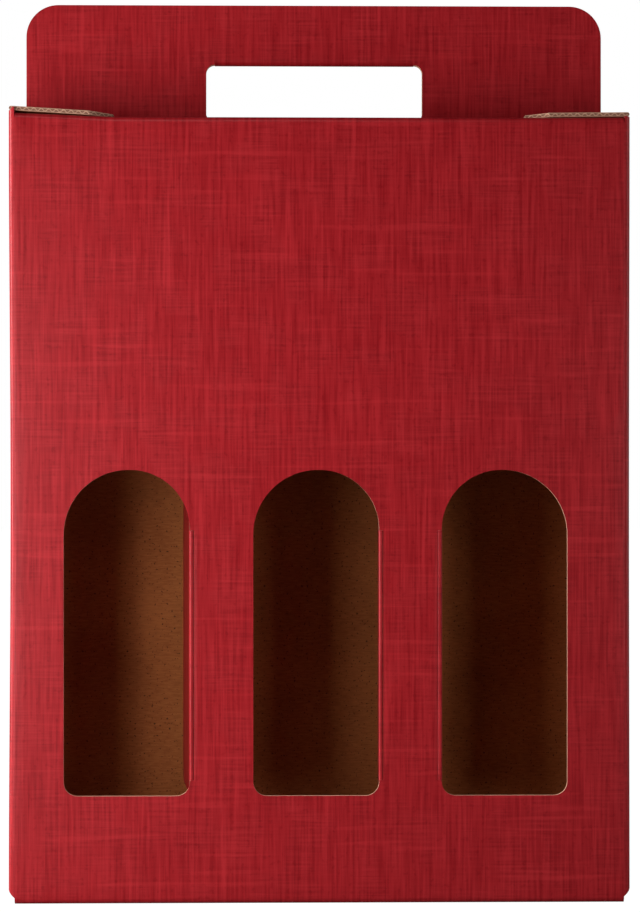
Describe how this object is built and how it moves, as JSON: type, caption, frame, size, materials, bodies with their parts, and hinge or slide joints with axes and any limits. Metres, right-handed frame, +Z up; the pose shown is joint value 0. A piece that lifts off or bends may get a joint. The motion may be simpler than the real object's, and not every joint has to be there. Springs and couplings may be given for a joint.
{
  "type": "bottle shipping box",
  "caption": "Tall corrugated carton for bottles in a row, with arched front windows, inward divider flaps, closed top flaps and a board handle with a hand hole.",
  "frame": {"origin": "middle of the box's footprint, on the surface that it stands on", "axes": "+Z up; -Y the front with the windows; +X to the right seen from the front"},
  "size_m": [0.2586, 0.0886, 0.3799],
  "materials": {
    "printed_board": "satin red linen print outside, plain brown kraft inside, tan fluted cut edges"
  },
  "bodies": {
    "carton": {"carton": "printed_board"},
    "left_top_flap": {"left_top_flap": "printed_board"},
    "right_top_flap": {"right_top_flap": "printed_board"},
    "left_window_flap": {"left_window_flap": "printed_board"},
    "middle_window_flap": {"middle_window_flap": "printed_board"},
    "right_window_flap": {"right_window_flap": "printed_board"}
  },
  "joints": [
    {"name": "left_top_flap_crease", "type": "hinge", "parent": "carton", "child": "left_top_flap", "pos_m": [-0.1284, 0, 0.3307], "axis": [0, -1, 0], "range_deg": [0, 180]},
    {"name": "right_top_flap_crease", "type": "hinge", "parent": "carton", "child": "right_top_flap", "pos_m": [0.1284, 0, 0.32864], "axis": [0, 1, 0], "range_deg": [0, 180]},
    {"name": "left_window_flap_crease", "type": "hinge", "parent": "carton", "child": "left_window_flap", "pos_m": [-0.0534, -0.0434, 0.1125], "axis": [0, 0, -1], "range_deg": [-85.7, 14.3]},
    {"name": "middle_window_flap_crease", "type": "hinge", "parent": "carton", "child": "middle_window_flap", "pos_m": [0.0253, -0.0434, 0.1125], "axis": [0, 0, -1], "range_deg": [-92, 8]},
    {"name": "right_window_flap_crease", "type": "hinge", "parent": "carton", "child": "right_window_flap", "pos_m": [0.05, -0.0434, 0.1125], "axis": [0, 0, 1], "range_deg": [-88, 12]}
  ]
}
